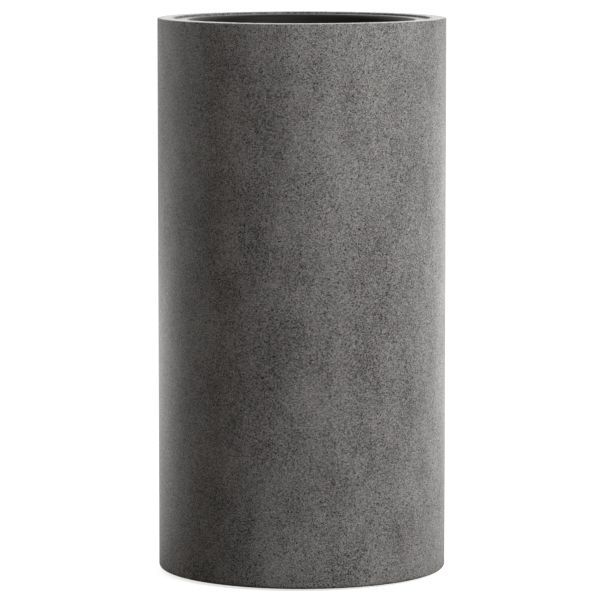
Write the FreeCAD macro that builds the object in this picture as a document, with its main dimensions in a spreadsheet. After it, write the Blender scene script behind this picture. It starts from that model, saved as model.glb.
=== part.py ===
"""A tall round planter of moulded glass-fibre composite with a drop-in liner.

The origin is on the floor under the middle of the planter, +Z is up, and lengths are millimetres.
The shell is one moulding: a straight wall whose flat rim turns inwards and steps down to a ledge.
A base disc closes the foot and is held by a strip of laminate in the corner above it. The liner
hangs by its flange on the ledge, on a ring of foam, and lifts straight out. A rubber bung stops the
drain hole from above, and the planter stands on four glued pads.
"""
import FreeCAD, Part

import math
import os

import Sketcher

# Every driving size: its alias, its value and what it is.
SIZES = [
    ("overall_height", 770.0, "floor to the top of the rim"),
    ("outer_radius", 200.0, "outside of the wall"),
    ("wall_thickness", 6.5, "laminate of the wall"),
    ("foot_round", 5.0, "rounding of the outer bottom edge"),
    ("rim_width", 23.5, "flat top of the rim, from the outside inwards"),
    ("rim_round", 2.0, "rounding of the rim's two top edges"),
    ("flange_step", 2.5, "top of the rim down to the top of the liner's flange"),
    ("ledge_width", 15.0, "ledge that carries the liner"),
    ("ledge_thickness", 7.0, "laminate of the ledge"),
    ("ledge_corner", 9.0, "rounding under the ledge, against the wall"),
    ("pad_height", 3.0, "foot pad, from the floor to its glued face"),
    ("pad_radius", 14.0, "outside of a foot pad"),
    ("pad_chamfer", 1.0, "bevel round the lower edge of a foot pad"),
    ("pad_inset", 28.5, "middle of a foot pad, inwards from the inside of the wall"),
    ("base_thickness", 8.0, "base disc"),
    ("glue_gap", 0.3, "resin line between the wall and the pieces glued into it"),
    ("strip_leg", 28.0, "leg of the corner strip, up the wall and along the base"),
    ("strip_thickness", 3.0, "corner strip"),
    ("strip_corner", 12.0, "hollow rounding inside the corner strip"),
    ("drain_radius", 12.5, "drain hole through the base disc"),
    ("bung_clearance", 0.05, "radial clearance of the bung's stem where it is widest"),
    ("bung_taper", 1.0, "how much the stem's radius narrows to its tip"),
    ("bung_tip_lift", 1.5, "tip of the stem above the underside of the base disc"),
    ("bung_flange_overlap", 6.5, "flange of the bung, beyond the edge of the drain hole"),
    ("bung_flange_thickness", 3.0, "flange of the bung"),
    ("bung_neck_radius", 5.5, "neck under the bung's knob"),
    ("bung_neck_height", 8.0, "neck between the bung's flange and its knob"),
    ("bung_knob_radius", 9.0, "knob that the bung is pulled by"),
    ("bung_knob_height", 6.0, "knob that the bung is pulled by"),
    ("bung_round", 1.0, "rounding of the bung's knob and flange"),
    ("foam_thickness", 1.5, "foam ring between the ledge and the liner's flange"),
    ("foam_inset", 1.0, "edges of the foam ring, back from the ledge's"),
    ("flange_gap", 1.2, "gap round the edge of the liner's flange"),
    ("flange_thickness", 3.5, "flange of the liner"),
    ("flange_round", 0.8, "rounding of the outer upper edge of the liner's flange"),
    ("liner_clearance", 3.5, "outside of the liner to the inner edge of the ledge"),
    ("liner_lip_round", 6.0, "rounding from the top of the flange into the liner"),
    ("liner_neck_round", 2.5, "rounding under the flange, against the liner's wall"),
    ("liner_wall", 3.5, "wall of the liner"),
    ("liner_depth", 330.0, "top of the flange to the underside of the liner"),
    ("liner_floor", 4.0, "floor of the liner"),
    ("liner_draft", 13.0, "how much the liner's radius narrows to its floor"),
    ("liner_corner", 18.0, "inner rounding between the liner's wall and its floor"),
    ("liner_hole_radius", 7.0, "drain hole in the liner's floor"),
    ("liner_hole_circle", 80.0, "radius of the circle of drain holes"),
    ("slot_length", 96.0, "hand slot, end to end"),
    ("slot_height", 28.0, "hand slot"),
    ("slot_depth", 52.0, "top of the flange down to the middle of a hand slot"),
]
PAD_COUNT = 4
FIRST_PAD_ANGLE = 45.0
LINER_HOLE_COUNT = 6
FULL_TURN = 360.0
FOOT_ROUND_SHARE = 0.8  # the foot is rounded over this share of its wall at most
SAME_PLACE = 0.01  # two lengths closer than this are the same

doc = FreeCAD.newDocument("planter")
sheet = doc.addObject("Spreadsheet::Sheet", "sizes")
for row, (alias, value, meaning) in enumerate(SIZES, start=1):
    sheet.set(f"A{row}", alias)
    sheet.set(f"B{row}", str(value))
    sheet.set(f"C{row}", meaning)
    sheet.setAlias(f"B{row}", alias)
doc.recompute()


class Size:
    """A length in millimetres together with the spreadsheet formula that gives it."""

    def __init__(self, value, formula):
        self.value = value
        self.formula = formula

    def __add__(self, other):
        return Size(self.value + other.value, f"({self.formula} + {other.formula})")

    def __sub__(self, other):
        return Size(self.value - other.value, f"({self.formula} - {other.formula})")

    def __mul__(self, factor):
        return Size(self.value * factor, f"({self.formula} * {factor})")

    def at_most(self, other):
        return Size(min(self.value, other.value), f"min({self.formula}; {other.formula})")


def size(name):
    """The size that the spreadsheet holds under this alias."""
    return Size(float(sheet.get(name)), f"sizes.{name}")


ON_AXIS = Size(0.0, "0")

# Heights and radii that several pieces share.
outer = size("outer_radius")
top = size("overall_height")
foot = size("pad_height")
bore = outer - size("wall_thickness")
glued = bore - size("glue_gap")
rim_inner = outer - size("rim_width")
ledge_inner = rim_inner - size("ledge_width")
flange_top = top - size("flange_step")
foam_top = flange_top - size("flange_thickness")
ledge_top = foam_top - size("foam_thickness")
base_top = foot + size("base_thickness")


def new_body(name):
    """A named body for one piece of the planter."""
    body = doc.addObject("PartDesign::Body", name)
    body.Label = name
    return body


def new_sketch(body, name, plane, height=None):
    """A sketch on one of the body's own planes, raised by height if one is given."""
    sketch = body.newObject("Sketcher::SketchObject", name)
    origin_plane = next(f for f in body.Origin.OriginFeatures if f.Role == plane)
    sketch.AttachmentSupport = [(origin_plane, "")]
    sketch.MapMode = "FlatFace"
    if height:
        sketch.setExpression("AttachmentOffset.Base.z", height.formula)
    return sketch


def place(sketch, edge, end, across, up):
    """Fixes one point of an edge, from the sketch's origin, by two bound dimensions."""
    for kind, axis, distance in (("DistanceX", -2, across), ("DistanceY", -1, up)):
        if distance is ON_AXIS:
            sketch.addConstraint(Sketcher.Constraint("PointOnObject", edge, end, axis))
            continue
        made = Sketcher.Constraint(kind, -1, 1, edge, end, distance.value)
        number = sketch.addConstraint(made)
        sketch.setExpression(f"Constraints[{number}]", distance.formula)


def outline(sketch, corners):
    """A closed outline of straight lines through corners, given as (across, up) sizes."""
    points = [FreeCAD.Vector(a.value, u.value, 0) for a, u in corners]
    count = len(points)
    for i in range(count):
        sketch.addGeometry(Part.LineSegment(points[i], points[(i + 1) % count]))
    for i in range(count):
        joined = Sketcher.Constraint("Coincident", i, 2, (i + 1) % count, 1)
        sketch.addConstraint(joined)
        place(sketch, i, 1, *corners[i])


def circle(sketch, radius, across=ON_AXIS, up=ON_AXIS):
    """A circle of a bound radius about a bound centre."""
    middle = FreeCAD.Vector(across.value, up.value, 0)
    edge = sketch.addGeometry(Part.Circle(middle, FreeCAD.Vector(0, 0, 1), radius.value))
    number = sketch.addConstraint(Sketcher.Constraint("Radius", edge, radius.value))
    sketch.setExpression(f"Constraints[{number}]", radius.formula)
    place(sketch, edge, 3, across, up)


def revolved(body, corners):
    """The body's outline in the XZ plane, turned all the way round the Z axis."""
    sketch = new_sketch(body, f"{body.Name}_section", "XZ_Plane")
    outline(sketch, corners)
    turn = body.newObject("PartDesign::Revolution", f"{body.Name}_turn")
    turn.Profile = sketch
    turn.ReferenceAxis = (sketch, ["V_Axis"])
    turn.Angle = FULL_TURN
    doc.recompute()
    return turn


def padded(body, sketch, height):
    """The sketch raised by height."""
    pad = body.newObject("PartDesign::Pad", f"{body.Name}_pad")
    pad.Profile = sketch
    pad.setExpression("Length", height.formula)
    doc.recompute()
    return pad


def through_cut(body, name, sketch):
    """Cuts the sketch through the whole body, both ways from its plane."""
    before = body.Shape.Volume
    cut = body.newObject("PartDesign::Pocket", name)
    cut.Profile = sketch
    cut.Type = "ThroughAll"
    cut.Midplane = True
    doc.recompute()
    if not cut.Shape.Volume < before:
        raise RuntimeError(f"{name} cut nothing")
    return cut


def ring_edges(shape, rings):
    """The names of the round edges about the Z axis at each (radius, height)."""
    names = []
    for radius, height in rings:
        found = [
            f"Edge{number}"
            for number, edge in enumerate(shape.Edges, start=1)
            if hasattr(edge.Curve, "Radius")
            and abs(edge.Curve.Radius - radius.value) < SAME_PLACE
            and abs(edge.Curve.Center.z - height.value) < SAME_PLACE
        ]
        if not found:
            raise RuntimeError(f"no round edge at {radius.value:.2f}, {height.value:.2f}")
        names += found
    return names


def rounded(body, name, radius, rings):
    """Rounds the body's edges at the given (radius, height) rings."""
    fillet = body.newObject("PartDesign::Fillet", name)
    base = fillet.BaseFeature or body.Tip
    fillet.Base = (base, ring_edges(base.Shape, rings))
    fillet.setExpression("Radius", radius.formula)
    doc.recompute()
    return fillet


def make_outer_shell():
    """The moulding: wall, flat rim and the ledge inside it."""
    body = new_body("outer_shell")
    ledge_under = ledge_top - size("ledge_thickness")
    revolved(
        body,
        [
            (bore, foot),
            (outer, foot),
            (outer, top),
            (rim_inner, top),
            (rim_inner, ledge_top),
            (ledge_inner, ledge_top),
            (ledge_inner, ledge_under),
            (bore, ledge_under),
        ],
    )
    foot_limit = size("wall_thickness") * FOOT_ROUND_SHARE
    foot_round = size("foot_round").at_most(foot_limit)
    rounded(body, "shell_foot_round", foot_round, [(outer, foot)])
    rounded(body, "shell_rim_round", size("rim_round"), [(outer, top), (rim_inner, top)])
    rounded(body, "shell_ledge_corner", size("ledge_corner"), [(bore, ledge_under)])
    return body


def make_base_disc():
    """The disc that closes the foot, with the drain hole in its middle."""
    body = new_body("base_disc")
    sketch = new_sketch(body, "base_round", "XY_Plane", foot)
    circle(sketch, glued)
    padded(body, sketch, size("base_thickness"))
    hole = new_sketch(body, "drain_round", "XY_Plane", foot)
    circle(hole, size("drain_radius"))
    through_cut(body, "drain_hole", hole)
    return body


def make_corner_strip():
    """The strip of laminate in the corner between the base disc and the wall."""
    body = new_body("corner_strip")
    thin = size("strip_thickness")
    leg = size("strip_leg")
    revolved(
        body,
        [
            (glued - leg, base_top),
            (glued, base_top),
            (glued, base_top + leg),
            (glued - thin, base_top + leg),
            (glued - thin, base_top + thin),
            (glued - leg, base_top + thin),
        ],
    )
    hollow = [(glued - thin, base_top + thin)]
    rounded(body, "strip_hollow", size("strip_corner"), hollow)
    return body


def make_drain_bung():
    """The rubber bung: a tapered stem in the drain hole, a flange and a knob."""
    body = new_body("drain_bung")
    stem = size("drain_radius") - size("bung_clearance")
    flange = size("drain_radius") + size("bung_flange_overlap")
    neck = size("bung_neck_radius")
    knob = size("bung_knob_radius")
    tip_height = foot + size("bung_tip_lift")
    flange_height = base_top + size("bung_flange_thickness")
    knob_under = flange_height + size("bung_neck_height")
    knob_height = knob_under + size("bung_knob_height")
    revolved(
        body,
        [
            (ON_AXIS, tip_height),
            (stem - size("bung_taper"), tip_height),
            (stem, base_top),
            (flange, base_top),
            (flange, flange_height),
            (neck, flange_height),
            (neck, knob_under),
            (knob, knob_under),
            (knob, knob_height),
            (ON_AXIS, knob_height),
        ],
    )
    soft_edges = [(flange, flange_height), (knob, knob_under), (knob, knob_height)]
    rounded(body, "bung_edges", size("bung_round"), soft_edges)
    return body


def make_seat_foam():
    """The foam ring that lies on the ledge under the liner's flange."""
    body = new_body("seat_foam")
    sketch = new_sketch(body, "foam_ring", "XY_Plane", ledge_top)
    circle(sketch, rim_inner - size("foam_inset"))
    circle(sketch, ledge_inner + size("foam_inset"))
    padded(body, sketch, size("foam_thickness"))
    return body


def make_liner():
    """The drop-in pot: a flange, a tapering wall, a drained floor and two hand slots."""
    body = new_body("liner")
    wall = size("liner_wall")
    mouth = ledge_inner - size("liner_clearance") - wall
    floor_radius = mouth - size("liner_draft")
    under = flange_top - size("liner_depth")
    floor = under + size("liner_floor")
    edge = rim_inner - size("flange_gap")
    revolved(
        body,
        [
            (ON_AXIS, under),
            (floor_radius + wall, under),
            (mouth + wall, foam_top),
            (edge, foam_top),
            (edge, flange_top),
            (mouth, flange_top),
            (floor_radius, floor),
            (ON_AXIS, floor),
        ],
    )
    corner = size("liner_corner")
    rounded(body, "liner_lip", size("liner_lip_round"), [(mouth, flange_top)])
    rounded(body, "liner_flange_edge", size("flange_round"), [(edge, flange_top)])
    rounded(body, "liner_neck", size("liner_neck_round"), [(mouth + wall, foam_top)])
    rounded(body, "liner_floor_corner", corner, [(floor_radius, floor)])
    rounded(body, "liner_outer_corner", corner + wall, [(floor_radius + wall, under)])
    cut_liner_holes(body, under)
    cut_hand_slots(body)
    return body


def cut_liner_holes(body, under):
    """The ring of drain holes through the liner's floor."""
    sketch = new_sketch(body, "hole_round", "XY_Plane", under)
    circle(sketch, size("liner_hole_radius"), across=size("liner_hole_circle"))
    before = body.Shape.Volume
    hole = body.newObject("PartDesign::Pocket", "liner_hole")
    hole.Profile = sketch
    hole.Reversed = True
    hole.setExpression("Length", size("liner_floor").formula)
    doc.recompute()
    if not hole.Shape.Volume < before:
        raise RuntimeError("the liner's drain hole cut nothing")
    ring = body.newObject("PartDesign::PolarPattern", "liner_holes")
    ring.Originals = [hole]
    ring.Axis = (sketch, ["N_Axis"])
    ring.Angle = FULL_TURN
    ring.Occurrences = LINER_HOLE_COUNT
    body.Tip = ring
    doc.recompute()


def cut_hand_slots(body):
    """Two hand slots with round ends, one in the wall on each side along X."""
    end_radius = size("slot_height") * 0.5
    reach = size("slot_length") * 0.5 - end_radius
    middle = flange_top - size("slot_depth")
    sketch = new_sketch(body, "slot_outline", "YZ_Plane")
    for side in (1, -1):
        height = middle.value + side * end_radius.value
        start, finish = (FreeCAD.Vector(x * reach.value, height, 0) for x in (-side, side))
        sketch.addGeometry(Part.LineSegment(start, finish))
    for side in (1, -1):
        centre = FreeCAD.Vector(side * reach.value, middle.value, 0)
        end = Part.Circle(centre, FreeCAD.Vector(0, 0, 1), end_radius.value)
        first = -side * math.pi / 2
        sketch.addGeometry(Part.ArcOfCircle(end, first, first + math.pi))
    # Each row: an edge and its end, tangent to another edge at its end.
    for joint in ((0, 2, 2, 2), (2, 1, 1, 1), (1, 2, 3, 2), (3, 1, 0, 1)):
        sketch.addConstraint(Sketcher.Constraint("Tangent", *joint))
    sketch.addConstraint(Sketcher.Constraint("Horizontal", 0))
    sketch.addConstraint(Sketcher.Constraint("Symmetric", 2, 3, 3, 3, -2))
    bound = sketch.addConstraint(Sketcher.Constraint("Radius", 2, end_radius.value))
    sketch.setExpression(f"Constraints[{bound}]", end_radius.formula)
    place(sketch, 2, 3, reach, middle)
    through_cut(body, "hand_slots", sketch)


def make_foot_pad(number):
    """One rubber pad, glued under the base disc."""
    body = new_body(f"foot_pad_{number}")
    sketch = new_sketch(body, f"pad_round_{number}", "XY_Plane")
    circle(sketch, size("pad_radius"), across=bore - size("pad_inset"))
    pad = padded(body, sketch, foot)
    bevel = body.newObject("PartDesign::Chamfer", f"pad_bevel_{number}")
    lower = [
        f"Edge{n}"
        for n, edge in enumerate(pad.Shape.Edges, start=1)
        if hasattr(edge.Curve, "Radius") and abs(edge.Curve.Center.z) < SAME_PLACE
    ]
    bevel.Base = (pad, lower)
    bevel.setExpression("Size", size("pad_chamfer").formula)
    angle = FIRST_PAD_ANGLE + (number - 1) * FULL_TURN / PAD_COUNT
    turned = FreeCAD.Rotation(FreeCAD.Vector(0, 0, 1), angle)
    body.Placement = FreeCAD.Placement(FreeCAD.Vector(0, 0, 0), turned)
    return body


def check(pieces):
    """Stops if any object failed or any piece is not one valid closed solid."""
    doc.recompute()
    for item in doc.Objects:
        if "Invalid" in item.State or "Error" in item.State:
            raise RuntimeError(f"{item.Name} failed: {item.State}")
    for piece in pieces:
        shape = piece.Shape
        if shape.isNull() or not shape.isValid() or len(shape.Solids) != 1:
            raise RuntimeError(f"{piece.Label} is not one valid solid")


def write(pieces):
    """Writes each piece to its own file and prints its size."""
    os.makedirs("parts", exist_ok=True)
    for piece in pieces:
        piece.Shape.exportStep(f"parts/{piece.Label}.step")
        box = piece.Shape.optimalBoundingBox(False, False)
        extent = f"{box.XLength:.1f} x {box.YLength:.1f} x {box.ZLength:.1f}"
        litres = piece.Shape.Volume / 1e6
        print(f"{piece.Label}: {extent} mm, {box.ZMin:.1f} to {box.ZMax:.1f}, {litres:.3f} l")


pieces = [
    make_outer_shell(),
    make_base_disc(),
    make_corner_strip(),
    make_drain_bung(),
    make_seat_foam(),
    make_liner(),
]
pieces += [make_foot_pad(number) for number in range(1, PAD_COUNT + 1)]
check(pieces)
write(pieces)
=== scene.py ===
"""Dresses a tall round planter of glass-fibre composite and sets the stage round it.

Lengths are metres in the part's own frame: the origin is on the floor under the middle of the
planter, +Z is up, and the viewer stands on the -Y side with +X to the right.
"""

import math

import bpy
import numpy as np
from bpy.props import FloatProperty, FloatVectorProperty, IntProperty, PointerProperty
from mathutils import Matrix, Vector


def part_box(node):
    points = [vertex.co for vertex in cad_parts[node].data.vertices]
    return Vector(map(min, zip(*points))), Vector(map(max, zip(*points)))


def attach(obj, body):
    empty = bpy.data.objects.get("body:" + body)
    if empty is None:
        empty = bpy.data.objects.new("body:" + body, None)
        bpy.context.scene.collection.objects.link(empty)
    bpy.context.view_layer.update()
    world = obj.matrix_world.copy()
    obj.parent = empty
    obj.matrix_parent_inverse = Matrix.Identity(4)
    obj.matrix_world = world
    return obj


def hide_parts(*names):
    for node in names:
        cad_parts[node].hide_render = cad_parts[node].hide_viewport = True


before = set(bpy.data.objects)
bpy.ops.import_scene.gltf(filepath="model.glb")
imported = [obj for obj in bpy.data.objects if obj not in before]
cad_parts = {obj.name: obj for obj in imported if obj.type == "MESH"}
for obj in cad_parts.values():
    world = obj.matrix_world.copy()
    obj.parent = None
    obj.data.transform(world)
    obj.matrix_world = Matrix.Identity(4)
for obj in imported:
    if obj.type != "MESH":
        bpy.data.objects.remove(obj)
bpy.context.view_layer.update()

bl_info = {
    "name": "Tall Round Planter",
    "version": (1, 0, 0),
    "blender": (4, 5, 0),
    "location": "View3D > Sidebar > Planter",
    "description": "Builds and finishes the pieces of a tall round composite planter",
    "category": "Object",
}

MM = 0.001
FULL_TURN = 2 * math.pi
SHELL_LOW, SHELL_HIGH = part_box("outer_shell")
FOAM_LOW, FOAM_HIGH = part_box("seat_foam")
FLANGE_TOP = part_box("liner")[1].z


def linear(hex_colour):
    """An sRGB hex colour as linear red, green and blue.

    Each channel c, from 0 to 1, becomes ((c + 0.055) / 1.055) to the power 2.4, or c / 12.92
    where it is at most 0.04045.
    """
    digits = hex_colour.lstrip("#")
    shares = [int(digits[i:i + 2], 16) / 255 for i in (0, 2, 4)]
    return tuple(c / 12.92 if c <= 0.04045 else ((c + 0.055) / 1.055) ** 2.4 for c in shares)


def length(name, description, default):
    """A length property, in metres."""
    return FloatProperty(
        name=name, description=description, default=default, min=0.0,
        precision=5, subtype="DISTANCE", unit="LENGTH",
    )


def colour(name, description, hex_colour):
    """A colour property, written as sRGB hex and kept linear."""
    return FloatVectorProperty(
        name=name, description=description, default=linear(hex_colour), min=0.0, max=1.0,
        size=3, subtype="COLOR",
    )


class PlanterSizes(bpy.types.PropertyGroup):
    """Sizes of the moulded shell and of the foam ring."""

    outer_radius: length("Outer radius", "Outside of the wall", SHELL_HIGH.x)
    top: length("Top", "Floor to the top of the rim", SHELL_HIGH.z)
    foot: length("Foot", "Floor to the lower edge of the wall", SHELL_LOW.z)
    wall: length("Wall", "Laminate of the wall", 6.5 * MM)
    rim_width: length("Rim width", "Flat top of the rim", 23.5 * MM)
    rim_round: length("Rim round", "Rounding of the rim's two top edges", 2.0 * MM)
    foot_round: length("Foot round", "Rounding of the outer bottom edge", 5.0 * MM)
    ledge_top: length("Ledge", "Floor to the top of the ledge", FOAM_LOW.z)
    ledge_width: length("Ledge width", "Ledge that carries the liner", 15.0 * MM)
    ledge_thickness: length("Ledge thickness", "Laminate of the ledge", 7.0 * MM)
    ledge_corner: length("Ledge corner", "Rounding under the ledge", 9.0 * MM)
    arris: length("Arris", "Rounding of the edges that are only broken by hand", 0.6 * MM)
    waviness: length("Waviness", "Slow rise and fall of the hand-finished wall", 0.25 * MM)
    edge_wear: length("Edge wear", "How much the sanding has eaten into the edges", 0.22 * MM)
    chip_depth: length("Chip depth", "The deepest chip out of a worn edge", 0.9 * MM)
    chips: IntProperty(name="Chips", description="Small chips along each edge", default=9, min=0)
    foam_outer: length("Foam outside", "Outer radius of the foam ring", FOAM_HIGH.x)
    foam_width: length("Foam width", "Foam ring, across", 13.0 * MM)
    foam_joint: length("Foam joint", "Gap where the strip of foam meets itself", 0.8 * MM)
    foam_crown: length("Foam crown", "How much the foam's edges fall away", 0.35 * MM)


class PlanterFinishes(bpy.types.PropertyGroup):
    """Colours of the planter's materials."""

    composite_dark: colour("Dark grain", "Darkest grains of the composite", "#221d1a")
    composite_light: colour("Light grain", "Lightest grains of the composite", "#a6a5a4")
    # Painted shade: the near-black mixed into pores and pinholes stands in for the shade inside
    # them.
    composite_pit_shade: colour("Pinhole", "Pinholes in the composite", "#0d0b0a")
    laminate: colour("Resin", "Bare glass-fibre laminate", "#4e4f47")
    laminate_strand: colour("Strand", "Glass strands in the laminate", "#868778")
    liner: colour("Liner", "Moulded polypropylene of the liner", "#24211f")
    liner_worn: colour("Rubbed liner", "Faint paler patches on the liner", "#6b6663")
    foam: colour("Foam", "Closed-cell foam ring", "#242423")
    foam_cell: colour("Foam cell", "Walls between the foam's cells", "#4a4a48")
    rubber: colour("Rubber", "Bung and foot pads", "#1f1e1d")
    rubber_bloom: colour("Rubber bloom", "Dull bloom on the rubber", "#565452")


class StageSettings(bpy.types.PropertyGroup):
    """Camera, lamps and surroundings."""

    camera_place: FloatVectorProperty(
        name="Camera place", description="Where the camera stands",
        default=(-0.0026, -6.02, 1.044), size=3, subtype="TRANSLATION", unit="LENGTH",
    )
    camera_drop: FloatProperty(
        name="Camera drop", description="How far the camera looks below the horizon",
        default=math.radians(6.327), subtype="ANGLE", unit="ROTATION",
    )
    lens: FloatProperty(
        name="Lens", description="Focal length in millimetres on a 36 mm sensor", default=260.9,
    )
    key_power: FloatProperty(
        name="Key power", description="Tall soft lamp at the right front", default=45.0,
        subtype="POWER", unit="POWER",
    )
    panel_power: FloatProperty(
        name="Panel power", description="Wide dim panel beside the key, seen in reflections",
        default=16.0, subtype="POWER", unit="POWER",
    )
    side_power: FloatProperty(
        name="Side power", description="Low soft lamp at the right", default=1.6,
        subtype="POWER", unit="POWER",
    )
    left_edge_power: FloatProperty(
        name="Left edge power", description="Low soft lamp behind the planter on the left",
        default=1.6, subtype="POWER", unit="POWER",
    )
    right_edge_power: FloatProperty(
        name="Right edge power", description="Soft lamp behind the planter on the right",
        default=2.8, subtype="POWER", unit="POWER",
    )
    room_colour: colour("Room colour", "Tint of the dim room on the viewer's side", "#ffeedd")
    back_level: FloatProperty(
        name="Backdrop light", description="Light from the white backdrop", default=1.0,
    )
    front_level: FloatProperty(
        name="Room light", description="Light from the dim room on the viewer's side",
        default=0.095,
    )
    contact_shade: FloatProperty(
        name="Shade at the foot", description="Share of light the floor sends up at the foot",
        default=0.45, subtype="FACTOR",
    )


# --- Surfaces -----------------------------------------------------------------------------------

# Narrowest and widest chip, and the least and most of the full depth it may have.
CHIP_WIDTHS = (1.2 * MM, 3.0 * MM)
CHIP_DEPTHS = (0.35, 1.0)
# The wall's slow waves: the most periods round it, and the shortest and longest up it, in metres.
MOST_WAVES = 9
WAVE_LENGTHS = (0.18, 0.9)


def rounded_outline(corners, steps, arc_steps):
    """A closed outline in the plane of radius and height, with its corners rounded.

    corners are rows of (radius, height, rounding). Where the outline turns by an angle t between
    unit directions u and v, the corner becomes an arc that starts rounding * tan(t / 2) before it
    and turns about the centre, which lies on the bisector. Straight runs have their points at
    shares (1 - cos(pi * k / steps)) / 2, so that they crowd towards the arcs.
    """
    corners = np.asarray(corners, float)
    points, rounding = corners[:, :2], corners[:, 2]
    run = np.roll(points, -1, axis=0) - points
    out = run / np.linalg.norm(run, axis=1, keepdims=True)
    into = np.roll(out, 1, axis=0)
    turn = np.arctan2(into[:, 0] * out[:, 1] - into[:, 1] * out[:, 0], (into * out).sum(axis=1))
    back = (rounding * np.tan(np.abs(turn) / 2))[:, None]
    first, last = points - into * back, points + out * back
    side = np.sign(turn)[:, None] * np.stack([-into[:, 1], into[:, 0]], axis=1)
    centre = first + side * rounding[:, None]
    share = np.linspace(0, 1, arc_steps + 1)
    spoke = first - centre
    swing = turn[:, None] * share
    arc_across = spoke[:, :1] * np.cos(swing) - spoke[:, 1:] * np.sin(swing)
    arc_up = spoke[:, :1] * np.sin(swing) + spoke[:, 1:] * np.cos(swing)
    arcs = centre[:, None, :] + np.stack([arc_across, arc_up], axis=2)
    crowd = (1 - np.cos(np.pi * np.arange(1, steps) / steps)) / 2
    following = np.roll(first, -1, axis=0)
    runs = last[:, None, :] + (following - last)[:, None, :] * crowd[None, :, None]
    return np.concatenate([arcs, runs], axis=1).reshape(-1, 2)


def outline_normals(outline):
    """Unit normals that point out of a closed outline drawn anticlockwise.

    The tangent at a point runs from the point before it to the point after it, and the normal is
    the tangent turned clockwise by a quarter.
    """
    tangent = np.roll(outline, -1, axis=0) - np.roll(outline, 1, axis=0)
    tangent /= np.linalg.norm(tangent, axis=1, keepdims=True)
    return np.stack([tangent[:, 1], -tangent[:, 0]], axis=1)


def nearness(outline, corner, reach):
    """How near each outline point is to a corner: exp(-(distance / reach) squared)."""
    distance = np.linalg.norm(outline - np.asarray(corner), axis=1)
    return np.exp(-((distance / reach) ** 2))


def ring_noise(angles, low, high, seed):
    """A wave round the planter with a standard deviation of 1.

    It is the sum of cosines with every whole number of periods from low to high, with seeded
    random phases and strengths.
    """
    random = np.random.default_rng(seed)
    periods = np.arange(low, high + 1)[:, None]
    phases = random.uniform(0, FULL_TURN, periods.shape)
    strengths = random.normal(size=periods.shape)
    wave = (strengths * np.cos(periods * angles[None, :] + phases)).sum(axis=0)
    return wave / wave.std()


def chip_marks(angles, count, radius, seed):
    """Small chips along a round edge, from 0 to 1 at the deepest.

    Each chip is a bell exp(-(arc from its middle / its width) squared), at a seeded random place
    with a random width and depth, and the deepest chip counts where two meet.
    """
    random = np.random.default_rng(seed)
    middles = random.uniform(0, FULL_TURN, (count, 1))
    widths = random.uniform(*CHIP_WIDTHS, (count, 1))
    depths = random.uniform(*CHIP_DEPTHS, (count, 1))
    apart = np.angle(np.exp(1j * (angles[None, :] - middles))) * radius
    return (depths * np.exp(-((apart / widths) ** 2))).max(axis=0, initial=0.0)


def wall_waves(angles, heights, seed):
    """Slow waves over the wall, from -1 to 1, as one row for each angle.

    The sum of cosines of (n * angle + or - 2 pi * height / length + phase), each divided by the
    root of n, with n from 1 to MOST_WAVES, and the sign, length and phase seeded random. The sum
    is divided by its largest size.
    """
    random = np.random.default_rng(seed)
    n = np.arange(1, MOST_WAVES + 1)[:, None, None]
    rate = random.choice([-1, 1], n.shape) / random.uniform(*WAVE_LENGTHS, n.shape)
    phases = random.uniform(0, FULL_TURN, n.shape)
    swing = n * angles[None, :, None] + FULL_TURN * rate * heights[None, None, :] + phases
    wave = (np.cos(swing) / np.sqrt(n)).sum(axis=0)
    return wave / np.abs(wave).max()


def turned_points(outline, normals, angles, push):
    """An outline turned about the Z axis and pushed along its own normals.

    A point is ((r + push * nr) * cos(angle), (r + push * nr) * sin(angle), z + push * nz), and
    push has one row for each angle and one column for each outline point.
    """
    radius = outline[None, :, 0] + push * normals[None, :, 0]
    height = outline[None, :, 1] + push * normals[None, :, 1]
    east, north = np.cos(angles)[:, None], np.sin(angles)[:, None]
    return np.stack([radius * east, radius * north, height], axis=2).reshape(-1, 3)


def grid_faces(rows, columns, closed_rows=True):
    """The four-cornered faces of a grid whose columns close, and whose rows close if asked.

    Face (i, j) joins the points (i, j), (i + 1, j), (i + 1, j + 1) and (i, j + 1), each counted
    round to 0 past the last.
    """
    i = np.arange(rows if closed_rows else rows - 1)[:, None]
    j = np.arange(columns)[None, :]
    after_i, after_j = (i + 1) % rows, (j + 1) % columns
    loop = [i * columns + j, after_i * columns + j]
    loop += [after_i * columns + after_j, i * columns + after_j]
    return np.stack(np.broadcast_arrays(*loop), axis=2).reshape(-1, 4)


def new_piece(name, points, faces, body):
    """A smooth mesh piece in the part's frame that rides on a body."""
    mesh = bpy.data.meshes.new(name)
    mesh.from_pydata(points, [], faces)
    mesh.shade_smooth()
    piece = bpy.data.objects.new(name, mesh)
    bpy.context.scene.collection.objects.link(piece)
    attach(piece, body)
    return piece


def set_attribute(mesh, name, values):
    """Keeps one number for each point of a mesh, for its material to read."""
    attribute = mesh.attributes.new(name, "FLOAT", "POINT")
    attribute.data.foreach_set("value", np.asarray(values, np.float32))


# --- Materials ----------------------------------------------------------------------------------

def per_metre(millimetres):
    """Repeats in a metre of a pattern that repeats every so many millimetres."""
    return 1 / (millimetres * MM)


def add_node(tree, kind, inputs=None, **settings):
    """Adds a node, with its settings, and fills its inputs with values or other nodes' outputs."""
    node = tree.nodes.new(kind)
    for name, value in settings.items():
        setattr(node, name, value)
    for key, value in (inputs or {}).items():
        if isinstance(value, bpy.types.NodeSocket):
            tree.links.new(value, node.inputs[key])
        else:
            node.inputs[key].default_value = value
    return node


def new_material(name):
    """An empty node material and its tree."""
    material = bpy.data.materials.new(name)
    material.use_nodes = True
    material.node_tree.nodes.clear()
    return material, material.node_tree


def opaque(rgb):
    """A linear colour with full alpha."""
    return (*rgb, 1.0)


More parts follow.
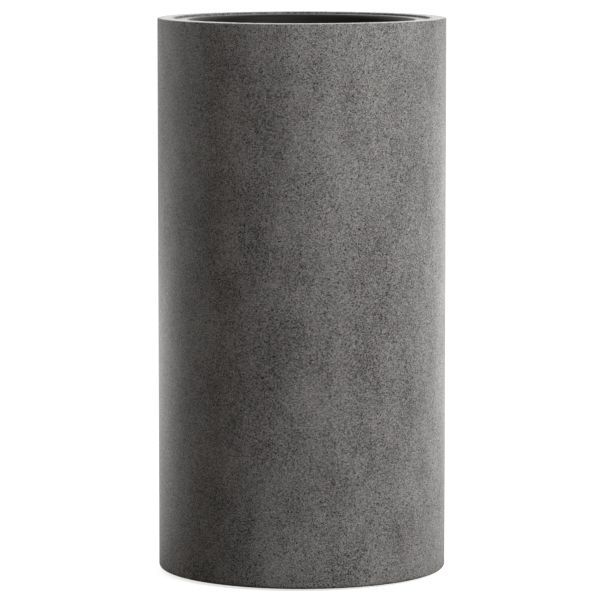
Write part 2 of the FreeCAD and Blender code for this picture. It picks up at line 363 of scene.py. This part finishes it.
def sanded_mineral_composite(finishes):
    """Glass-fibre polyester filled with crushed stone, moulded and sanded matt.

    Sanding opens the surface, so the eye sees salt-and-pepper grain under 2 mm, dark pinholes,
    soft grey clouds of a few centimetres and no gloss. The rim's flat top was ground finer, so
    it alone shines at a flat angle.
    """
    material, tree = new_material("sanded_mineral_composite")
    place = add_node(tree, "ShaderNodeTexCoord").outputs["Object"]

    # Crushed stone: each grain has its own tone. Real ones are 0.2 to 0.6 mm across; they are
    # drawn at 1 mm, so that they still show.
    grain = add_node(tree, "ShaderNodeTexVoronoi", {"Vector": place, "Scale": per_metre(1.0)})
    tone = add_node(tree, "ShaderNodeSeparateColor", {"Color": grain.outputs["Color"]})
    # Clouds of filler, a few centimetres across and drawn out up the wall.
    drawn = add_node(
        tree, "ShaderNodeMapping",
        {"Vector": place, "Location": (0.31, 0.12, 0.05), "Scale": (1.0, 1.0, 0.55)},
    )
    cloud = add_node(
        tree, "ShaderNodeTexNoise",
        {"Vector": drawn.outputs["Vector"], "Scale": per_metre(42), "Detail": 3.0,
         "Roughness": 0.55},
    )
    cloud_shade = add_node(
        tree, "ShaderNodeMapRange",
        {"Value": cloud.outputs["Fac"], "From Min": 0.3, "From Max": 0.7,
         "To Min": -0.12, "To Max": 0.12},
    )
    # Slower change from one pour of filler to the next.
    broad = add_node(
        tree, "ShaderNodeTexNoise",
        {"Vector": drawn.outputs["Vector"], "Scale": per_metre(190), "Detail": 1.0},
    )
    broad_shade = add_node(
        tree, "ShaderNodeMapRange",
        {"Value": broad.outputs["Fac"], "From Min": 0.3, "From Max": 0.7,
         "To Min": -0.08, "To Max": 0.08},
    )
    soft = add_node(
        tree, "ShaderNodeMath", {0: cloud_shade.outputs[0], 1: broad_shade.outputs[0]},
        operation="ADD",
    )
    shade = add_node(
        tree, "ShaderNodeMath", {0: tone.outputs["Red"], 1: soft.outputs[0]}, operation="ADD",
    )
    toned = add_node(
        tree, "ShaderNodeMix",
        {"Factor": shade.outputs[0], "A": opaque(finishes.composite_dark),
         "B": opaque(finishes.composite_light)},
        data_type="RGBA",
    )
    # Pores: small spots about 3 mm apart. Pinholes: deeper ones, one in about 14 mm. The bump
    # sinks both, and the near-black mixed into them is painted shade inside the holes.
    pore_cell = add_node(
        tree, "ShaderNodeTexVoronoi", {"Vector": place, "Scale": per_metre(2.6)},
    )
    pore = add_node(
        tree, "ShaderNodeMapRange",
        {"Value": pore_cell.outputs["Distance"], "From Min": 0.40, "From Max": 0.15,
         "To Max": 0.5},
        interpolation_type="SMOOTHSTEP",
    )
    hole_cell = add_node(
        tree, "ShaderNodeTexVoronoi", {"Vector": place, "Scale": per_metre(7.5)},
    )
    hole = add_node(
        tree, "ShaderNodeMapRange",
        {"Value": hole_cell.outputs["Distance"], "From Min": 0.18, "From Max": 0.12},
        interpolation_type="SMOOTHSTEP",
    )
    pit = add_node(
        tree, "ShaderNodeMath", {0: pore.outputs[0], 1: hole.outputs[0]}, operation="MAXIMUM",
    )
    # Painted shade: pores and pinholes are darkened towards the near-black colour.
    pit_shaded = add_node(
        tree, "ShaderNodeMix",
        {"Factor": pit.outputs[0], "A": toned.outputs["Result"],
         "B": opaque(finishes.composite_pit_shade)},
        data_type="RGBA",
    )
    # The rim's ground top is smoother than the sanded wall, in roughness and in relief.
    ground = add_node(tree, "ShaderNodeAttribute", attribute_name="ground")
    gloss = add_node(
        tree, "ShaderNodeMapRange",
        {"Value": ground.outputs["Fac"], "To Min": 0.5, "To Max": 0.14},
    )
    relief = add_node(
        tree, "ShaderNodeMath", {0: grain.outputs["Distance"], 1: pit.outputs[0]},
        operation="ADD",
    )
    rough = add_node(
        tree, "ShaderNodeMapRange",
        {"Value": ground.outputs["Fac"], "To Min": 1.0, "To Max": 0.03},
    )
    bump = add_node(
        tree, "ShaderNodeBump",
        {"Height": relief.outputs[0], "Strength": rough.outputs[0], "Distance": 0.25 * MM},
        invert=True,
    )
    surface = add_node(
        tree, "ShaderNodeBsdfPrincipled",
        {"Base Color": pit_shaded.outputs["Result"], "Roughness": gloss.outputs[0],
         "Normal": bump.outputs["Normal"], "IOR": 1.5},
    )
    add_node(tree, "ShaderNodeOutputMaterial", {"Surface": surface.outputs[0]})
    return material


def bare_laminate(finishes):
    """Chopped glass strands laid in polyester resin and left as cured.

    The eye sees a grey-green resin skin, faintly shiny, with pale strands in every direction.
    """
    material, tree = new_material("bare_glass_laminate")
    place = add_node(tree, "ShaderNodeTexCoord").outputs["Object"]
    strands = None
    lays = ((0.5, 0.4), (-0.7, 1.5), (0.3, 2.6))
    for tilt, turn in lays:
        # Strands about 55 mm long, all one way: space turned, then squeezed. Real ones are
        # under 1 mm wide; they are drawn at 2.2 mm, so that they still show.
        laid = add_node(
            tree, "ShaderNodeMapping",
            {"Vector": place, "Rotation": (0.0, tilt, turn), "Scale": (25.0, 1.0, 1.0)},
            vector_type="TEXTURE",
        )
        strand = add_node(
            tree, "ShaderNodeTexNoise",
            {"Vector": laid.outputs["Vector"], "Scale": per_metre(2.2), "Detail": 1.0},
        ).outputs["Fac"]
        if strands is None:
            strands = strand
        else:
            strands = add_node(
                tree, "ShaderNodeMath", {0: strands, 1: strand}, operation="MAXIMUM",
            ).outputs[0]
    showing = add_node(
        tree, "ShaderNodeMapRange", {"Value": strands, "From Min": 0.52, "From Max": 0.72},
    )
    tinted = add_node(
        tree, "ShaderNodeMix",
        {"Factor": showing.outputs[0], "A": opaque(finishes.laminate),
         "B": opaque(finishes.laminate_strand)},
        data_type="RGBA",
    )
    bump = add_node(
        tree, "ShaderNodeBump",
        {"Height": showing.outputs[0], "Strength": 0.5, "Distance": 0.3 * MM},
    )
    surface = add_node(
        tree, "ShaderNodeBsdfPrincipled",
        {"Base Color": tinted.outputs["Result"], "Roughness": 0.42,
         "Normal": bump.outputs["Normal"], "IOR": 1.55},
    )
    add_node(tree, "ShaderNodeOutputMaterial", {"Surface": surface.outputs[0]})
    return material


def moulded_polypropylene(finishes):
    """Dark polypropylene, injection moulded in a tool with blasted walls and a polished flange.

    The eye sees an even brown-black with a soft wide shine and a very fine skin on the walls,
    and a flange that shows the surroundings at a flat angle.
    """
    material, tree = new_material("moulded_polypropylene")
    place = add_node(tree, "ShaderNodeTexCoord").outputs["Object"]
    skin = add_node(
        tree, "ShaderNodeTexNoise", {"Vector": place, "Scale": per_metre(0.8), "Detail": 2.0},
    )
    flow = add_node(
        tree, "ShaderNodeTexNoise", {"Vector": place, "Scale": per_metre(60), "Detail": 2.0},
    )
    blasted = add_node(
        tree, "ShaderNodeMapRange",
        {"Value": flow.outputs["Fac"], "From Min": 0.3, "From Max": 0.7,
         "To Min": 0.46, "To Max": 0.56},
    )
    # 1 on the flange's polished top, 0 on the walls below it.
    height = add_node(tree, "ShaderNodeSeparateXYZ", {"Vector": place})
    flange = add_node(
        tree, "ShaderNodeMapRange",
        {"Value": height.outputs["Z"], "From Min": FLANGE_TOP - 1.5 * MM,
         "From Max": FLANGE_TOP - 0.2 * MM},
    )
    gloss = add_node(
        tree, "ShaderNodeMix",
        {"Factor": flange.outputs[0], "A": blasted.outputs[0], "B": 0.13},
        data_type="FLOAT",
    )
    worn = add_node(
        tree, "ShaderNodeMapRange",
        {"Value": flow.outputs["Fac"], "From Min": 0.4, "From Max": 0.75, "To Max": 0.06},
    )
    tinted = add_node(
        tree, "ShaderNodeMix",
        {"Factor": worn.outputs[0], "A": opaque(finishes.liner),
         "B": opaque(finishes.liner_worn)},
        data_type="RGBA",
    )
    bump = add_node(
        tree, "ShaderNodeBump",
        {"Height": skin.outputs["Fac"], "Strength": 0.15, "Distance": 0.05 * MM},
    )
    surface = add_node(
        tree, "ShaderNodeBsdfPrincipled",
        {"Base Color": tinted.outputs["Result"], "Roughness": gloss.outputs["Result"],
         "Normal": bump.outputs["Normal"], "IOR": 1.49},
    )
    add_node(tree, "ShaderNodeOutputMaterial", {"Surface": surface.outputs[0]})
    return material


def closed_cell_foam(finishes):
    """Cross-linked polyethylene foam, cut from sheet.

    The eye sees a dull near-black with fine cells.
    """
    material, tree = new_material("closed_cell_foam")
    place = add_node(tree, "ShaderNodeTexCoord").outputs["Object"]
    cells = add_node(tree, "ShaderNodeTexVoronoi", {"Vector": place, "Scale": per_metre(0.9)})
    tinted = add_node(
        tree, "ShaderNodeMix",
        {"Factor": cells.outputs["Distance"], "A": opaque(finishes.foam),
         "B": opaque(finishes.foam_cell)},
        data_type="RGBA",
    )
    bump = add_node(
        tree, "ShaderNodeBump",
        {"Height": cells.outputs["Distance"], "Strength": 0.7, "Distance": 0.2 * MM},
    )
    surface = add_node(
        tree, "ShaderNodeBsdfPrincipled",
        {"Base Color": tinted.outputs["Result"], "Roughness": 0.9,
         "Normal": bump.outputs["Normal"], "IOR": 1.5},
    )
    add_node(tree, "ShaderNodeOutputMaterial", {"Surface": surface.outputs[0]})
    return material


def moulded_rubber(finishes):
    """Black rubber, compression moulded.

    The eye sees a soft black with a dull bloom in patches.
    """
    material, tree = new_material("moulded_black_rubber")
    place = add_node(tree, "ShaderNodeTexCoord").outputs["Object"]
    bloom = add_node(
        tree, "ShaderNodeTexNoise", {"Vector": place, "Scale": per_metre(7), "Detail": 4.0},
    )
    dulled = add_node(
        tree, "ShaderNodeMapRange",
        {"Value": bloom.outputs["Fac"], "From Min": 0.45, "From Max": 0.75, "To Max": 0.3},
    )
    tinted = add_node(
        tree, "ShaderNodeMix",
        {"Factor": dulled.outputs[0], "A": opaque(finishes.rubber),
         "B": opaque(finishes.rubber_bloom)},
        data_type="RGBA",
    )
    skin = add_node(
        tree, "ShaderNodeTexNoise", {"Vector": place, "Scale": per_metre(0.5), "Detail": 2.0},
    )
    bump = add_node(
        tree, "ShaderNodeBump",
        {"Height": skin.outputs["Fac"], "Strength": 0.3, "Distance": 0.05 * MM},
    )
    surface = add_node(
        tree, "ShaderNodeBsdfPrincipled",
        {"Base Color": tinted.outputs["Result"], "Roughness": 0.62,
         "Normal": bump.outputs["Normal"], "IOR": 1.52},
    )
    add_node(tree, "ShaderNodeOutputMaterial", {"Surface": surface.outputs[0]})
    return material


def dress(node_names, material):
    """Gives each of these carried-over nodes the material."""
    for name in node_names:
        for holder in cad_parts[name].material_slots:
            holder.material = material


# --- Operators ----------------------------------------------------------------------------------

class PLANTER_OT_make_shell(bpy.types.Operator):
    """Builds the moulded shell: wall, flat rim, ledge and foot, with its hand-finished edges"""

    bl_idname = "planter.make_shell"
    bl_label = "Make Shell"

    AROUND = 720
    RUN_STEPS = 10
    ARC_STEPS = 6
    SEED = 11
    # How far wear reaches from an edge, in roundings of the rim, and its periods round the edge.
    WEAR_REACH = 1.6
    WEAR_PERIODS = (18, 240)
    # The share of the rim's rounding over which the ground top fades out.
    GROUND_FADE = 0.5

    def execute(self, context):
        sizes = context.scene.planter_sizes
        outer, top, foot = sizes.outer_radius, sizes.top, sizes.foot
        bore, rim_inner = outer - sizes.wall, outer - sizes.rim_width
        ledge_inner = rim_inner - sizes.ledge_width
        ledge_under = sizes.ledge_top - sizes.ledge_thickness
        corners = [
            (bore, foot, sizes.arris),
            (outer, foot, sizes.foot_round),
            (outer, top, sizes.rim_round),
            (rim_inner, top, sizes.rim_round),
            (rim_inner, sizes.ledge_top, sizes.arris),
            (ledge_inner, sizes.ledge_top, sizes.arris),
            (ledge_inner, ledge_under, sizes.arris),
            (bore, ledge_under, sizes.ledge_corner),
        ]
        outline = rounded_outline(corners, self.RUN_STEPS, self.ARC_STEPS)
        normals = outline_normals(outline)
        angles = np.arange(self.AROUND) * FULL_TURN / self.AROUND

        waves = wall_waves(angles, outline[:, 1], self.SEED)
        push = sizes.waviness * (waves - 1) / 2
        worn_corners = [(outer, top), (rim_inner, top), (outer, foot)]
        for number, corner in enumerate(worn_corners, start=1):
            near = nearness(outline, corner, self.WEAR_REACH * sizes.rim_round)
            rough = np.abs(ring_noise(angles, *self.WEAR_PERIODS, self.SEED + number))
            chips = chip_marks(angles, sizes.chips, corner[0], self.SEED + 10 * number)
            eaten = sizes.edge_wear * rough + sizes.chip_depth * chips
            push = push - eaten[:, None] * near[None, :]

        points = turned_points(outline, normals, angles, push)
        faces = grid_faces(self.AROUND, len(outline))
        shell = new_piece("moulded_shell", points, faces, "planter")
        fade = self.GROUND_FADE * sizes.rim_round
        flat_top = np.clip(1 - (top - outline[:, 1]) / fade, 0, 1)
        set_attribute(shell.data, "ground", np.tile(flat_top, self.AROUND))
        finishes = context.scene.planter_finishes
        shell.data.materials.append(sanded_mineral_composite(finishes))
        shell.data.materials.append(bare_laminate(finishes))
        inside = (outline[:, 0] < bore + sizes.arris) & (outline[:, 1] < ledge_under)
        shell.data.polygons.foreach_set("material_index", np.tile(inside, self.AROUND).astype(int))
        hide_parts("outer_shell")
        return {"FINISHED"}


class PLANTER_OT_make_seat_foam(bpy.types.Operator):
    """Builds the ring of foam that the liner's flange lies on"""

    bl_idname = "planter.make_seat_foam"
    bl_label = "Make Seat Foam"

    AROUND = 480
    RUN_STEPS = 8
    ARC_STEPS = 5
    JOINT_ANGLE = math.radians(118)
    SEED = 41
    # The corners' rounding as a share of the thickness, and how steeply the crown falls away.
    CORNER_SHARE = 0.45
    CROWN_POWER = 4
    # How unevenly the ring is squeezed, and its periods round the ring.
    SQUEEZE = 0.04 * MM
    SQUEEZE_PERIODS = (3, 40)

    def execute(self, context):
        sizes = context.scene.planter_sizes
        outer, inner = sizes.foam_outer, sizes.foam_outer - sizes.foam_width
        low, high = FOAM_LOW.z, FOAM_HIGH.z
        corner = self.CORNER_SHARE * (high - low)
        corners = [
            (inner, low, corner),
            (outer, low, corner),
            (outer, high, corner),
            (inner, high, corner),
        ]
        outline = rounded_outline(corners, self.RUN_STEPS, self.ARC_STEPS)
        across = (outline[:, 0] - (outer + inner) / 2) / (sizes.foam_width / 2)
        upper = np.clip((outline[:, 1] - low) / (high - low), 0, 1)
        outline[:, 1] -= sizes.foam_crown * upper * across ** self.CROWN_POWER
        gap = sizes.foam_joint / outer
        angles = self.JOINT_ANGLE + np.linspace(gap / 2, FULL_TURN - gap / 2, self.AROUND)
        squeeze = np.abs(ring_noise(angles, *self.SQUEEZE_PERIODS, self.SEED))
        push = -self.SQUEEZE * squeeze[:, None] * np.ones(len(outline))[None, :]
        points = turned_points(outline, outline_normals(outline), angles, push)
        faces = grid_faces(self.AROUND, len(outline), closed_rows=False).tolist()
        last = (self.AROUND - 1) * len(outline)
        faces.append(list(range(len(outline))))
        faces.append(list(range(last + len(outline) - 1, last - 1, -1)))
        foam = new_piece("foam_ring", points, faces, "planter")
        foam.data.materials.append(closed_cell_foam(context.scene.planter_finishes))
        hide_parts("seat_foam")
        return {"FINISHED"}


class PLANTER_OT_finish_liner(bpy.types.Operator):
    """Gives the drop-in liner its moulded plastic"""

    bl_idname = "planter.finish_liner"
    bl_label = "Finish Liner"

    def execute(self, context):
        dress(["liner"], moulded_polypropylene(context.scene.planter_finishes))
        return {"FINISHED"}


class PLANTER_OT_finish_base(bpy.types.Operator):
    """Gives the base disc and the strip that bonds it in their bare laminate"""

    bl_idname = "planter.finish_base"
    bl_label = "Finish Base"

    def execute(self, context):
        dress(["base_disc", "corner_strip"], bare_laminate(context.scene.planter_finishes))
        return {"FINISHED"}


class PLANTER_OT_finish_rubber(bpy.types.Operator):
    """Gives the drain bung and the foot pads their rubber"""

    bl_idname = "planter.finish_rubber"
    bl_label = "Finish Rubber"

    def execute(self, context):
        pads = [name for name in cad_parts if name.startswith("foot_pad")]
        dress(["drain_bung", *pads], moulded_rubber(context.scene.planter_finishes))
        return {"FINISHED"}


# How far along Y a reflection of the backdrop's light is shifted.
GLOSSY_SHIFT = -0.1
# The floor's own grey and the glow that lifts it to white for the camera.
PAPER_GREY = 0.8
PAPER_GLOW = 0.75
# The middle of the painted shade in the floor's glow, and how far from it the patch starts and
# stops fading.
PAINTED_SHADE_PLACE = (-0.12, -0.2, 0.0)
PAINTED_SHADE_FADE = (0.1, 0.6)


def seen_directly(tree):
    """1 for a ray that comes from the camera or through something clear, else 0."""
    path = add_node(tree, "ShaderNodeLightPath")
    return add_node(
        tree, "ShaderNodeMath",
        {0: path.outputs["Is Camera Ray"], 1: path.outputs["Is Transmission Ray"]},
        operation="MAXIMUM",
    ).outputs[0]


def backdrop_light(tree, source, stage, start, end):
    """The level and tint of the backdrop's light, as outputs.

    It is dim and warm on the viewer's side, white behind, and changes smoothly from start to end
    along Y. source is a place on the floor or a direction in the world. A reflection changes a
    little further back, over the same range.
    """
    along = add_node(tree, "ShaderNodeSeparateXYZ", {"Vector": source}).outputs["Y"]
    glossy = add_node(tree, "ShaderNodeLightPath").outputs["Is Glossy Ray"]
    shifted = add_node(
        tree, "ShaderNodeMath", {0: glossy, 1: GLOSSY_SHIFT, 2: along},
        operation="MULTIPLY_ADD",
    )
    level = add_node(
        tree, "ShaderNodeMapRange",
        {"Value": shifted.outputs[0], "From Min": start, "From Max": end,
         "To Min": stage.front_level, "To Max": stage.back_level},
        interpolation_type="SMOOTHSTEP",
    ).outputs[0]
    tint = add_node(
        tree, "ShaderNodeMix",
        {"Factor": level, "A": opaque(stage.room_colour), "B": opaque((1, 1, 1))},
        data_type="RGBA",
    ).outputs["Result"]
    return level, tint


def pale_floor(stage):
    """A seamless pale floor: white to the camera but for the planter's soft shadow.

    As a light it is a painted glow that follows the backdrop, so that glossy edges show it white
    behind the planter; the glow carries a painted shade, dimmer in a patch at the foot's left
    front, which darkens the foot of the wall there.
    """
    material, tree = new_material("pale_studio_floor")
    place = add_node(tree, "ShaderNodeTexCoord").outputs["Object"]
    paper = add_node(tree, "ShaderNodeBsdfDiffuse", {"Color": opaque((PAPER_GREY,) * 3)})
    glow = add_node(tree, "ShaderNodeEmission", {"Strength": PAPER_GLOW})
    shown = add_node(tree, "ShaderNodeAddShader", {0: paper.outputs[0], 1: glow.outputs[0]})
    # Painted shade: the floor's glow as a light is dimmed round a fixed place at the foot's left
    # front; it is not a cast shadow.
    away = add_node(
        tree, "ShaderNodeVectorMath", {0: place, 1: PAINTED_SHADE_PLACE}, operation="DISTANCE",
    )
    fade_start, fade_end = PAINTED_SHADE_FADE
    shade = add_node(
        tree, "ShaderNodeMapRange",
        {"Value": away.outputs["Value"], "From Min": fade_start, "From Max": fade_end,
         "To Min": stage.contact_shade, "To Max": 1.0},
    )
    level, tint = backdrop_light(tree, place, stage, start=-0.25, end=0.15)
    shaded = add_node(
        tree, "ShaderNodeMath", {0: level, 1: shade.outputs[0]}, operation="MULTIPLY",
    )
    bounce = add_node(
        tree, "ShaderNodeEmission", {"Color": tint, "Strength": shaded.outputs[0]},
    )
    mixed = add_node(
        tree, "ShaderNodeMixShader",
        {0: seen_directly(tree), 1: bounce.outputs[0], 2: shown.outputs[0]},
    )
    add_node(tree, "ShaderNodeOutputMaterial", {"Surface": mixed.outputs[0]})
    return material


def studio_world(stage):
    """White to the camera. As a light it is white behind the planter and dim in front of it."""
    world = bpy.data.worlds.new("studio")
    world.use_nodes = True
    tree = world.node_tree
    tree.nodes.clear()
    towards = add_node(tree, "ShaderNodeTexCoord").outputs["Generated"]
    level, tint = backdrop_light(tree, towards, stage, start=-0.10, end=0.35)
    room = add_node(tree, "ShaderNodeBackground", {"Color": tint, "Strength": level})
    white = add_node(
        tree, "ShaderNodeBackground", {"Color": opaque((1, 1, 1)), "Strength": 1.0},
    )
    light = add_node(
        tree, "ShaderNodeMixShader",
        {0: seen_directly(tree), 1: room.outputs[0], 2: white.outputs[0]},
    )
    add_node(tree, "ShaderNodeOutputWorld", {"Surface": light.outputs[0]})
    return world


def soft_lamp(name, azimuth, elevation, distance, target_height, width, height, power):
    """A soft rectangular lamp that faces the planter's axis at a height. Angles are in degrees.

    It stands at distance * (sin azimuth * cos elevation, -cos azimuth * cos elevation,
    sin elevation) from the point it faces.
    """
    lamp = bpy.data.lights.new(name, "AREA")
    lamp.shape = "RECTANGLE"
    lamp.size, lamp.size_y, lamp.energy = width, height, power
    holder = bpy.data.objects.new(name, lamp)
    bpy.context.scene.collection.objects.link(holder)
    a, e = math.radians(azimuth), math.radians(elevation)
    away = Vector((math.sin(a) * math.cos(e), -math.cos(a) * math.cos(e), math.sin(e)))
    holder.location = away * distance + Vector((0, 0, target_height))
    holder.rotation_euler = away.to_track_quat("Z", "Y").to_euler()
    holder.visible_camera = False
    return holder


class PLANTER_OT_build_stage(bpy.types.Operator):
    """Sets up the pale floor, the soft lamps, the surroundings and the camera"""

    bl_idname = "planter.build_stage"
    bl_label = "Build Stage"

    FLOOR_HALF = 200.0
    # A hair under the pads, so that no two faces lie in one plane.
    FLOOR_DROP = 0.02 * MM
    SENSOR_WIDTH = 36.0

    def execute(self, context):
        scene = context.scene
        stage = scene.planter_stage
        half, low = self.FLOOR_HALF, -self.FLOOR_DROP
        mesh = bpy.data.meshes.new("floor")
        mesh.from_pydata(
            [(-half, -half, low), (half, -half, low), (half, half, low), (-half, half, low)],
            [], [(0, 1, 2, 3)],
        )
        mesh.materials.append(pale_floor(stage))
        floor = bpy.data.objects.new("floor", mesh)
        scene.collection.objects.link(floor)
        scene.world = studio_world(stage)
        key = soft_lamp(
            "key_lamp", azimuth=48, elevation=22, distance=2.6, target_height=0.45,
            width=0.8, height=1.8, power=stage.key_power,
        )
        # Its mirror image would burn out the rim's ground top, so the panel beside it is mirrored
        # in its place.
        key.visible_glossy = False
        soft_lamp(
            "key_panel", azimuth=36, elevation=20, distance=2.6, target_height=0.45,
            width=1.6, height=2.0, power=stage.panel_power,
        )
        soft_lamp(
            "side_lamp", azimuth=95, elevation=0, distance=1.3, target_height=0.22,
            width=0.5, height=0.36, power=stage.side_power,
        )
        soft_lamp(
            "left_edge_lamp", azimuth=-140, elevation=0, distance=1.3, target_height=0.16,
            width=0.4, height=0.28, power=stage.left_edge_power,
        )
        soft_lamp(
            "right_edge_lamp", azimuth=140, elevation=0, distance=1.3, target_height=0.32,
            width=0.4, height=0.60, power=stage.right_edge_power,
        )

        camera = bpy.data.cameras.new("camera")
        camera.sensor_width = self.SENSOR_WIDTH
        camera.lens = stage.lens
        holder = bpy.data.objects.new("camera", camera)
        scene.collection.objects.link(holder)
        holder.location = stage.camera_place
        holder.rotation_euler = (math.pi / 2 - stage.camera_drop, 0.0, 0.0)
        scene.camera = holder
        scene.view_settings.view_transform = "Standard"
        return {"FINISHED"}


class PLANTER_PT_build(bpy.types.Panel):
    """Lists the planter's pieces in the sidebar"""

    bl_idname = "PLANTER_PT_build"
    bl_label = "Tall Round Planter"
    bl_space_type = "VIEW_3D"
    bl_region_type = "UI"
    bl_category = "Planter"

    def draw(self, context):
        for operator in OPERATORS:
            self.layout.operator(operator.bl_idname)
        for group in (
            context.scene.planter_sizes,
            context.scene.planter_finishes,
            context.scene.planter_stage,
        ):
            box = self.layout.box()
            for name in group.__annotations__:
                box.prop(group, name)


GROUPS = {
    "planter_sizes": PlanterSizes,
    "planter_finishes": PlanterFinishes,
    "planter_stage": StageSettings,
}
OPERATORS = (
    PLANTER_OT_make_shell,
    PLANTER_OT_make_seat_foam,
    PLANTER_OT_finish_liner,
    PLANTER_OT_finish_base,
    PLANTER_OT_finish_rubber,
    PLANTER_OT_build_stage,
)


def register():
    """Registers the property groups, operators and panel."""
    for cls in (*GROUPS.values(), *OPERATORS, PLANTER_PT_build):
        bpy.utils.register_class(cls)
    for name, group in GROUPS.items():
        setattr(bpy.types.Scene, name, PointerProperty(type=group))


def unregister():
    """Takes them all away again."""
    for name in GROUPS:
        delattr(bpy.types.Scene, name)
    for cls in reversed((*GROUPS.values(), *OPERATORS, PLANTER_PT_build)):
        bpy.utils.unregister_class(cls)


def main():
    """Builds every piece and the stage."""
    register()
    bpy.ops.planter.make_shell()
    bpy.ops.planter.make_seat_foam()
    bpy.ops.planter.finish_liner()
    bpy.ops.planter.finish_base()
    bpy.ops.planter.finish_rubber()
    bpy.ops.planter.build_stage()


if __name__ == "__main__":
    main()
